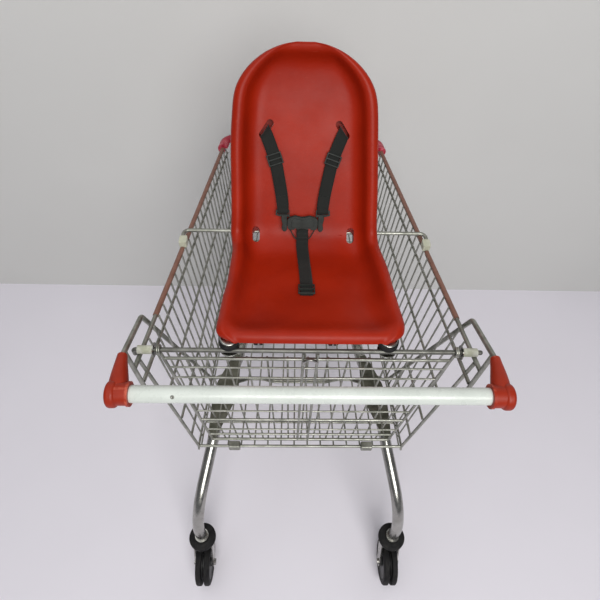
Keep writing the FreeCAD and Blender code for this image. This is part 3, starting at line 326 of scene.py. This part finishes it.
# ----------------------------------------------------------- mesh helpers
def smooth_course(points, step):
    """Points at even steps along a smooth curve through the given ones, with their shares."""
    dense = []
    last = len(points) - 1
    for index in range(last):
        p0 = points[max(index - 1, 0)]
        p1, p2 = points[index], points[index + 1]
        p3 = points[min(index + 2, last)]
        reach = (p2 - p1).length
        out = (p2 - p0).normalized() * reach if index else p2 - p1
        into = (p3 - p1).normalized() * reach if index + 2 <= last else p2 - p1
        pieces = max(3, int(round(reach / step)))
        for piece in range(pieces):
            t = piece / pieces
            a = 2 * t ** 3 - 3 * t ** 2 + 1
            b = t ** 3 - 2 * t ** 2 + t
            c = -2 * t ** 3 + 3 * t ** 2
            d = t ** 3 - t ** 2
            dense.append((p1 * a + out * b + p2 * c + into * d, index + t))
    dense.append((points[-1], float(last)))
    return dense


def between(values, share):
    """The value at a share of a row of values, where whole shares are the values themselves."""
    low = min(int(share), len(values) - 2)
    part = share - low
    return values[low] * (1 - part) + values[low + 1] * part


def bridge(mesh, first, second, material_index=0):
    """Smooth faces that join two closed rings of vertices."""
    count = len(first)
    for index in range(count):
        following = (index + 1) % count
        face = mesh.faces.new([first[index], first[following], second[following], second[index]])
        face.smooth = True
        face.material_index = material_index


def slab(mesh, outline, low, high, soft):
    """An extruded outline with rounded rims; outline points are functions of the rise."""
    lower = [mesh.verts.new(to_frame(point(low))) for point in outline]
    upper = [mesh.verts.new(to_frame(point(high))) for point in outline]
    bottom = mesh.faces.new(list(reversed(lower)))
    top = mesh.faces.new(upper)
    count = len(outline)
    for index in range(count):
        following = (index + 1) % count
        mesh.faces.new([lower[index], lower[following], upper[following], upper[index]])
    bmesh.ops.bevel(mesh, geom=list(bottom.edges) + list(top.edges), offset=soft * MM, segments=3,
                    profile=0.6, affect="EDGES", clamp_overlap=True)


def turned(mesh, centre, profile, count=48, flats=0):
    """A surface turned about the vertical through centre, or a prism with that many flats."""
    rings = []
    for radius, height in profile:
        ring = []
        for index in range(count):
            turn = 2 * math.pi * index / count
            spread = radius
            if flats:
                corner = math.pi / flats
                spread = radius * math.cos(corner) / math.cos((turn % (2 * corner)) - corner)
            spot = centre + point_at(math.cos(turn) * spread, math.sin(turn) * spread, height)
            ring.append(mesh.verts.new(to_frame(spot)))
        rings.append(ring)
    for first, second in zip(rings, rings[1:]):
        bridge(mesh, first, second)
    mesh.faces.new(list(reversed(rings[0])))
    mesh.faces.new(rings[-1])


def place_mesh(mesh, name, materials):
    """A piece made from a finished bmesh and materials given."""
    bmesh.ops.recalc_face_normals(mesh, faces=mesh.faces)
    data = bpy.data.meshes.new(name)
    mesh.to_mesh(data)
    mesh.free()
    for material in materials:
        data.materials.append(material)
    piece = bpy.data.objects.new(name, data)
    bpy.context.scene.collection.objects.link(piece)
    return piece


# --------------------------------------------------------------- harness
# The seat's back: a point on its edge line, the way up the slope and the way
# behind it, in millimetres with y measured from the handle.
BACK_SLOPE = math.radians(63.4)
UP_BACK = Vector((0.0, math.cos(BACK_SLOPE), math.sin(BACK_SLOPE)))
BEHIND = Vector((0.0, math.sin(BACK_SLOPE), -math.cos(BACK_SLOPE)))
BACK_FOOT = Vector((-8.0, 400.0, 991.0))
DISH = 35.0                  # depth of the back's hollow behind its edge
BUCKLE = BACK_FOOT + UP_BACK * -3.0 + BEHIND * (DISH - 16.0)

WEB_WIDE = 25.0
WEB_THICK = 1.7
WEB_STEP = 1.6               # spacing of the rings along a strap
THREAD_THICK = 0.32
THREAD_SIDES = 5

Ring = namedtuple("Ring", "point wide lift way half run")


def on_back(x, climb, depth):
    """A point by its place across, up the slope and behind the edge of the seat's back."""
    return BACK_FOOT + ACROSS * x + UP_BACK * climb + BEHIND * depth


def on_buckle(x, climb, rise):
    """A point by its place across, up the slope and in front of the buckle's middle."""
    return BUCKLE + ACROSS * x + UP_BACK * climb - BEHIND * rise


class Webbing:
    """Flat woven strap along a course, with its own UVs in metres and rows of stitches."""

    def __init__(self, name, points, wides, widths):
        self.name = name
        self.mesh = bmesh.new()
        self.uv = self.mesh.loops.layers.uv.new("UVMap")
        self.rings = []
        self.build(points, wides, widths)

    def build(self, points, wides, widths):
        """Rings of vertices along the course, joined by faces and closed at both ends."""
        course = smooth_course(points, WEB_STEP)
        run = 0.0
        for index, (point, share) in enumerate(course):
            before = course[max(index - 1, 0)][0]
            after = course[min(index + 1, len(course) - 1)][0]
            way = (after - before).normalized()
            wide = between(wides, share)
            wide = (wide - way * wide.dot(way)).normalized()
            lift = wide.cross(way).normalized()
            if index:
                run += (point - course[index - 1][0]).length
            self.rings.append(Ring(point, wide, lift, way, between(widths, share) / 2, run))
        loops = []
        for ring in self.rings:
            loops.append([
                (self.mesh.verts.new(to_frame(ring.point + ring.wide * x + ring.lift * z)), u)
                for x, z, u in self.profile(ring)
            ])
        for index in range(1, len(loops)):
            runs = self.rings[index - 1].run, self.rings[index].run
            self.skin(loops[index - 1], loops[index], *runs)
        for end in (loops[0], loops[-1]):
            self.mesh.faces.new([vert for vert, _ in end])

    def profile(self, ring):
        """Cross section: a flat lens with rounded selvedges and a slight sag that wanders."""
        steps = 8
        cup = 0.35 * math.sin(ring.run * 0.045 + ring.half)
        top = []
        for index in range(steps + 1):
            share = 2 * index / steps - 1
            sag = cup * (1 - share * share)
            edge = math.sqrt(max(0.0, 1 - abs(share) ** 14)) * 0.5 + 0.02
            top.append((share * ring.half, WEB_THICK * edge, sag, (share * WEB_WIDE / 2) * MM))
        upper = [(x, z + sag, u) for x, z, sag, u in top]
        lower = [(x, -z + sag, u + WEB_WIDE * MM) for x, z, sag, u in reversed(top)]
        return upper + lower

    def skin(self, first, second, first_run, second_run):
        """Faces between two rings, with the run along the strap as their second UV."""
        count = len(first)
        for index in range(count):
            following = (index + 1) % count
            corners = [(first[index], first_run), (first[following], first_run),
                       (second[following], second_run), (second[index], second_run)]
            face = self.mesh.faces.new([vert for (vert, _), _ in corners])
            face.smooth = True
            for loop, ((_, u), v) in zip(face.loops, corners):
                loop[self.uv].uv = (u, v * MM)

    def length(self):
        return self.rings[-1].run

    def turn_over(self):
        """For a folded end that lies upside down: stitches go on the side that is then on top."""
        self.rings = [ring._replace(lift=-ring.lift) for ring in self.rings]

    def ring_at(self, run):
        return min(self.rings, key=lambda ring: abs(ring.run - run))

    def stitch_row(self, run, inset=3.0, count=7):
        """A row of short threads across the strap, on its upper side."""
        ring = self.ring_at(run)
        pitch = 2 * (ring.half - inset) / count
        for index in range(count):
            place = -ring.half + inset + (index + 0.5) * pitch
            self.thread(ring, place, ring.wide, ring.way, pitch * 0.72)

    def stitch_line(self, share, from_run, to_run, count):
        """A row of short threads along the strap; share is the place across it."""
        pitch = (to_run - from_run) / count
        for index in range(count):
            ring = self.ring_at(from_run + (index + 0.5) * (to_run - from_run) / count)
            self.thread(ring, share * ring.half, ring.way, ring.wide, pitch * 0.72)

    def thread(self, ring, place, along, across, length):
        """One stitch: a short thread that swells in the middle and dips in at both ends."""
        middle = ring.point + ring.lift * (WEB_THICK / 2 + 0.1) + ring.wide * place
        rings = []
        for share, swell in ((-0.5, 0.25), (-0.3, 0.9), (0.0, 1.0), (0.3, 0.9), (0.5, 0.25)):
            base = middle + along * (share * length)
            radius = THREAD_THICK * swell
            turns = [2 * math.pi * side / THREAD_SIDES for side in range(THREAD_SIDES)]
            spots = [base + across * (math.cos(turn) * radius) + ring.lift * (math.sin(turn) * radius)
                     for turn in turns]
            rings.append([self.mesh.verts.new(to_frame(spot)) for spot in spots])
        for first, second in zip(rings, rings[1:]):
            bridge(self.mesh, first, second, material_index=1)

    def finish(self, replaced):
        piece = place_mesh(self.mesh, self.name, [MATERIALS["webbing"], THREAD])
        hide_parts(replaced)
        return piece


def add_shoulder_strap(side, word):
    """Out of the slanted slot, down the back, through the tongue's loop and back on itself."""
    # Each row is the place across, the climb, the depth, the twist in degrees and the width.
    course = [
        (76.6, 174.6, DISH + 28.0, 56.0, 25.0), (76.6, 174.6, DISH + 6.0, 56.0, 25.0),
        (76.2, 173.2, DISH - 0.5, 52.0, 25.0), (72.6, 165.0, DISH - 5.4, 33.0, 25.0),
        (67.0, 151.0, DISH - 6.5, 19.0, 25.0),
        (57.0, 122.0, DISH - 7.0, 17.0, 25.0), (50.0, 88.0, DISH - 8.2, 13.0, 25.0),
        (44.0, 55.0, DISH - 9.4, 9.0, 25.0), (41.0, 34.0, DISH - 11.2, 3.0, 24.0),
        (40.5, 24.0, DISH - 12.6, 0.0, 22.6), (40.5, 19.6, DISH - 13.0, 0.0, 22.4),
        (40.5, 17.0, DISH - 14.4, 0.0, 22.4), (40.5, 16.4, DISH - 16.0, 0.0, 22.4),
        (40.5, 17.0, DISH - 17.6, 0.0, 22.4), (40.5, 19.6, DISH - 19.0, 0.0, 22.4),
        (40.5, 24.5, DISH - 18.6, 0.0, 22.8), (40.9, 31.0, DISH - 15.2, 2.0, 24.0),
        (42.0, 41.0, DISH - 12.9, 5.0, 24.6), (43.4, 52.0, DISH - 11.5, 8.0, 24.6),
    ]
    points = [on_back(side * x, climb, depth) for x, climb, depth, _, _ in course]
    wides = []
    for _, _, _, twist, _ in course:
        turn = math.radians(twist)
        wides.append(ACROSS * math.cos(turn) - UP_BACK * (side * math.sin(turn)))
    strap = Webbing("harness_shoulder_" + word, points, wides, [width for *_, width in course])
    strap.turn_over()
    stitched_from, stitched_to = strap.length() - 13.0, strap.length() - 2.5
    for run in (stitched_to, stitched_from):
        strap.stitch_row(run)
    for share in (-0.78, 0.78):
        strap.stitch_line(share, stitched_from, stitched_to, 4)
    piece = strap.finish("shoulder_strap_" + word)
    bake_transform(piece)


def pan_floor(y):
    """Height of the seat pan's floor under the crotch strap."""
    return 950.5 - 0.176 * (y - 255.0)


def over_pan(x, y, gap):
    return point_at(x, y, pan_floor(y) + gap)


def add_crotch_strap():
    """From the slide on the pan over the thin loop and in between the buckle's shells."""
    course = [
        (over_pan(-1.0, 243.0, 2.2), 25.0), (over_pan(-1.0, 268.0, 2.2), 25.0),
        (over_pan(-1.5, 290.0, 3.0), 25.0), (over_pan(-3.0, 320.0, 3.4), 25.0),
        (point_at(-5.0, 355.0, 935.6), 25.0), (point_at(-7.0, 378.0, 938.2), 25.0),
        (point_at(-8.0, 391.0, 944.0), 25.0),
        (on_buckle(0.4, -38.0, 2.6), 25.0), (on_buckle(0.2, -32.0, 3.0), 25.0),
        (on_buckle(0, -24.0, 2.6), 24.6), (on_buckle(0, -16.0, 0.6), 24.2), (on_buckle(0, -10.5, 0.0), 24.0),
    ]
    points = [point for point, _ in course]
    strap = Webbing("harness_crotch", points, [ACROSS] * len(points), [wide for _, wide in course])
    strap.stitch_row(strap.length() - 12.0)
    strap.stitch_row(strap.length() - 20.0)
    piece = strap.finish("crotch_strap")
    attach(piece, "seat")


# ---------------------------------------------------------------- buckle
def on_plate(outline):
    """Outline points for slab() that lie across and up the buckle."""
    return [lambda rise, x=x, climb=climb: on_buckle(x, climb, rise) for x, climb in outline]


def rod(mesh, points, radius, count=12):
    """A thin round rod through points with smoothed corners."""
    course = [point for point, _ in smooth_course(points, 1.2)]
    rings = []
    for index, point in enumerate(course):
        way = (course[min(index + 1, len(course) - 1)] - course[max(index - 1, 0)]).normalized()
        first = (BEHIND - way * BEHIND.dot(way)).normalized()
        second = way.cross(first)
        turns = [2 * math.pi * step / count for step in range(count)]
        spots = [point + (first * math.cos(turn) + second * math.sin(turn)) * radius for turn in turns]
        rings.append([mesh.verts.new(to_frame(spot)) for spot in spots])
    for first, second in zip(rings, rings[1:]):
        bridge(mesh, first, second)
    mesh.faces.new(rings[0])
    mesh.faces.new(list(reversed(rings[-1])))


def mirrored(half_outline):
    return half_outline + [(-x, climb) for x, climb in reversed(half_outline)]


def add_buckle():
    """Two moulded half shells on a core, and the thin loop for the crotch strap."""
    front = mirrored([
        (3.0, -10.5), (8.0, -11.0), (10.5, -13.5), (13.0, -9.5), (15.5, -9.5), (18.0, -13.8),
        (24.0, -14.0), (29.0, -12.4), (31.0, -8.5), (31.0, 7.5), (28.4, 10.2), (24.5, 11.4),
        (20.5, 13.6), (16.0, 15.0), (11.5, 14.4), (7.5, 12.2), (3.0, 11.2),
    ])
    raised = mirrored([
        (3.0, -6.2), (12.0, -6.6), (17.0, -8.8), (21.5, -8.4), (23.5, -5.0), (23.0, 3.0), (19.5, 7.2),
        (14.0, 9.6), (8.0, 8.0), (3.0, 7.2),
    ])
    mesh = bmesh.new()
    slab(mesh, on_plate(front), 2.75, 5.2, 0.9)
    slab(mesh, on_plate(front), -5.2, -2.75, 0.9)
    core = [(-8.5, -9.0), (8.5, -9.0), (8.5, 9.0), (-8.5, 9.0)]
    slab(mesh, on_plate(core), -2.9, 2.9, 0.2)
    slab(mesh, on_plate(raised), 4.6, 6.3, 0.8)
    loop = mirrored([(25.5, -9.0), (25.0, -14.5), (19.5, -25.0), (15.0, -32.6), (12.5, -33.8)])
    rod(mesh, [on_buckle(x, climb, 0) for x, climb in loop], 1.25)
    piece = place_mesh(mesh, "buckle_shells", [MATERIALS["buckle_plastic"]])
    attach(piece, "seat")
    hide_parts("buckle_body")


# ------------------------------------------------------------ small pieces
SLOT_LEAN = math.radians(56)
SLOT_RADIUS = 6.85
SLOT_REACH = 13.0            # from the slot's middle to the centre of either rounded end


def add_slot_liner(side, word):
    """Inner wall of the hollow moulding, seen through a shoulder slot."""
    slant = ACROSS * (-side * math.cos(SLOT_LEAN)) + UP_BACK * math.sin(SLOT_LEAN)
    across = slant.cross(BEHIND).normalized()
    middle = on_back(side * 74.3, 178.0, 0.0)
    outline = []
    count = 28
    for index in range(count):
        turn = 2 * math.pi * (index + 0.5) / count
        reach = slant * (math.copysign(SLOT_REACH, math.sin(turn)) + SLOT_RADIUS * math.sin(turn))
        spot = middle + reach + across * (SLOT_RADIUS * math.cos(turn))
        outline.append(lambda depth, spot=spot: spot + BEHIND * depth)
    mesh = bmesh.new()
    slab(mesh, outline, 66.0, 69.5, 0.4)
    piece = place_mesh(mesh, "slot_liner_" + word, [MATERIALS["seat_plastic"]])
    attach(piece, "seat")


CLAMP_X = 135.0
PAD_PROFILE = [(16.2, 969.6), (17.1, 970.0), (17.4, 971.0), (17.4, 975.4), (16.9, 976.4), (17.4, 977.4),
               (17.4, 981.8), (17.0, 982.8), (15.8, 983.1)]
UPPER_WASHER = [(15.2, 983.15), (15.6, 983.5), (15.4, 984.3), (13.0, 984.8)]
LOWER_WASHER = [(9.0, 956.4), (15.0, 957.2), (16.6, 957.9), (16.7, 958.7), (16.2, 959.2), (14.8, 959.0),
                (9.0, 958.2)]
BOLT_SHANK = [(3.0, 948.2), (3.0, 983.0)]
BOLT_NUT = [(5.6, 951.2), (6.3, 951.7), (6.3, 955.9), (5.8, 956.35)]


def add_clamps():
    """Rubber pads on top of the pivot rod, each held by dished washers, a bolt and a nut."""
    pads = bmesh.new()
    steel = bmesh.new()
    for side in (-1, 1):
        pad = point_at(side * CLAMP_X, 123.8, 0.0)
        bolt = point_at(side * CLAMP_X, 122.0, 0.0)
        turned(pads, pad, PAD_PROFILE)
        turned(steel, pad, UPPER_WASHER)
        turned(steel, point_at(side * CLAMP_X, 120.0, 0.0), LOWER_WASHER)
        turned(steel, bolt, BOLT_SHANK, count=24)
        turned(steel, bolt, BOLT_NUT, flats=6)
    rubber_piece = place_mesh(pads, "clamp_pads", [MATERIALS["black_rubber"]])
    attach(rubber_piece, "seat")
    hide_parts("clamp_rubbers")
    steel_piece = place_mesh(steel, "clamp_steel", [MATERIALS["bright_steel"]])
    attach(steel_piece, "seat")
    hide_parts("clamp_washers", "clamp_bolts")


def add_handle_screw():
    """Small countersunk screw in the handle tube, with a cross recess."""
    centre = point_at(-200.0, -9.4, 1029.0)
    out = Vector((0.0, -9.4, 9.0)).normalized()
    second = out.cross(ACROSS).normalized()
    mesh = bmesh.new()
    profile = [(2.9, -0.6), (2.9, 0.15), (2.5, 0.4), (1.6, 0.55), (1.3, 0.1), (0.0, 0.0)]
    recess_radius = 1.5
    count = 32
    rings = []
    for radius, lift in profile:
        ring = []
        for index in range(count):
            turn = 2 * math.pi * index / count
            lobe = 1.0 - (0.45 * abs(math.sin(2 * turn)) if radius < recess_radius else 0.0)
            around = ACROSS * math.cos(turn) + second * math.sin(turn)
            ring.append(mesh.verts.new(to_frame(centre + around * (radius * lobe) + out * lift)))
        rings.append(ring)
    for first, following in zip(rings, rings[1:]):
        bridge(mesh, first, following)
    bmesh.ops.remove_doubles(mesh, verts=mesh.verts, dist=1e-7)
    # The screw shares the rod's darkened steel, so it carries the same painted shade.
    piece = place_mesh(mesh, "handle_screw", [ROD_STEEL_PAINTED_SHADE])
    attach(piece, "frame")


# Moulded pieces and the radius of their rounded edges.
ROUNDED = {"buckle_tongue_left": 0.9, "buckle_tongue_right": 0.9, "strap_adjusters": 0.7,
           "crotch_slide": 0.8, "chassis_plates": 0.5, "saddle_clips": 1.2}


def round_edges():
    """Modifiers that round the edges of the small moulded CAD pieces."""
    for name, wide in ROUNDED.items():
        weld = NODES[name].modifiers.new("weld", "WELD")
        weld.merge_threshold = 0.00002
        bevel = NODES[name].modifiers.new("bevel", "BEVEL")
        bevel.width = wide * MM
        bevel.segments = 3
        bevel.limit_method = "ANGLE"
        bevel.angle_limit = math.radians(35)
        bevel.use_clamp_overlap = True
        NODES[name].modifiers.new("normals", "WEIGHTED_NORMAL")


# ----------------------------------------------------------------- stage
def stage_material(name, colour, roughness, see_through_back):
    """A plain, slightly uneven surface that can be invisible from behind."""
    f = Finish(name, roughness=roughness, specular=0.2)
    low = tuple(0.965 * channel for channel in colour)
    f.set("Base Color", f.ramp(f.noise(1.1, 3.0), [(0.35, low), (0.65, colour)]))
    if see_through_back:
        back = f.tree.nodes.new("ShaderNodeNewGeometry").outputs["Backfacing"]
        clear = f.tree.nodes.new("ShaderNodeBsdfTransparent")
        both = f.tree.nodes.new("ShaderNodeMixShader")
        f.tree.links.new(back, both.inputs[0])
        f.tree.links.new(f.shader.outputs[0], both.inputs[1])
        f.tree.links.new(clear.outputs[0], both.inputs[2])
        f.tree.links.new(both.outputs[0], f.tree.nodes["Material Output"].inputs["Surface"])
    return f.material


def add_plane(name, corners, material):
    mesh = bpy.data.meshes.new(name)
    mesh.from_pydata(corners, [], [(0, 1, 2, 3)])
    mesh.materials.append(material)
    plane = bpy.data.objects.new(name, mesh)
    bpy.context.scene.collection.objects.link(plane)


WALL_Y = 0.66
WALL_HEIGHT = 3.2
FLOOR_HALF = 9
WALL_HALF = 5


def add_stage():
    floor = stage_material("floor", (0.80, 0.775, 0.84), 0.55, False)
    wall = stage_material("wall", (0.64, 0.64, 0.625), 0.8, True)
    add_plane("floor", [(-FLOOR_HALF, -FLOOR_HALF, 0), (FLOOR_HALF, -FLOOR_HALF, 0),
                        (FLOOR_HALF, FLOOR_HALF, 0), (-FLOOR_HALF, FLOOR_HALF, 0)], floor)
    add_plane("wall", [(-WALL_HALF, WALL_Y, 0), (WALL_HALF, WALL_Y, 0),
                       (WALL_HALF, WALL_Y, WALL_HEIGHT), (-WALL_HALF, WALL_Y, WALL_HEIGHT)], wall)


def add_light(name, place, aim, wide, energy, colour=(1.0, 1.0, 1.0)):
    """A round soft light at place that faces aim."""
    data = bpy.data.lights.new(name, "AREA")
    data.shape = "DISK"
    data.size = wide
    data.energy = energy
    data.color = colour
    light = bpy.data.objects.new(name, data)
    bpy.context.scene.collection.objects.link(light)
    light.location = place
    light.rotation_euler = (Vector(aim) - Vector(place)).to_track_quat("-Z", "Y").to_euler()


def add_lights():
    add_light("key", (0.4, -2.6, 2.9), (0, 0, 0.8), 2.2, 92.0, (1.0, 0.985, 0.96))
    add_light("ceiling", (-0.8, -0.4, 3.6), (0, 0.1, 0.4), 2.6, 20.0)
    world = bpy.data.worlds.new("studio")
    world.use_nodes = True
    background = world.node_tree.nodes["Background"]
    background.inputs["Color"].default_value = (0.86, 0.88, 0.92, 1.0)
    background.inputs["Strength"].default_value = 0.24
    bpy.context.scene.world = world
    bpy.context.scene.view_settings.view_transform = "Standard"


add_camera()
add_stage()
add_lights()
finish_nodes()
round_edges()
for side, word in ((-1, "left"), (1, "right")):
    add_shoulder_strap(side, word)
    add_slot_liner(side, word)
add_crotch_strap()
add_buckle()
add_handle_screw()
add_clamps()
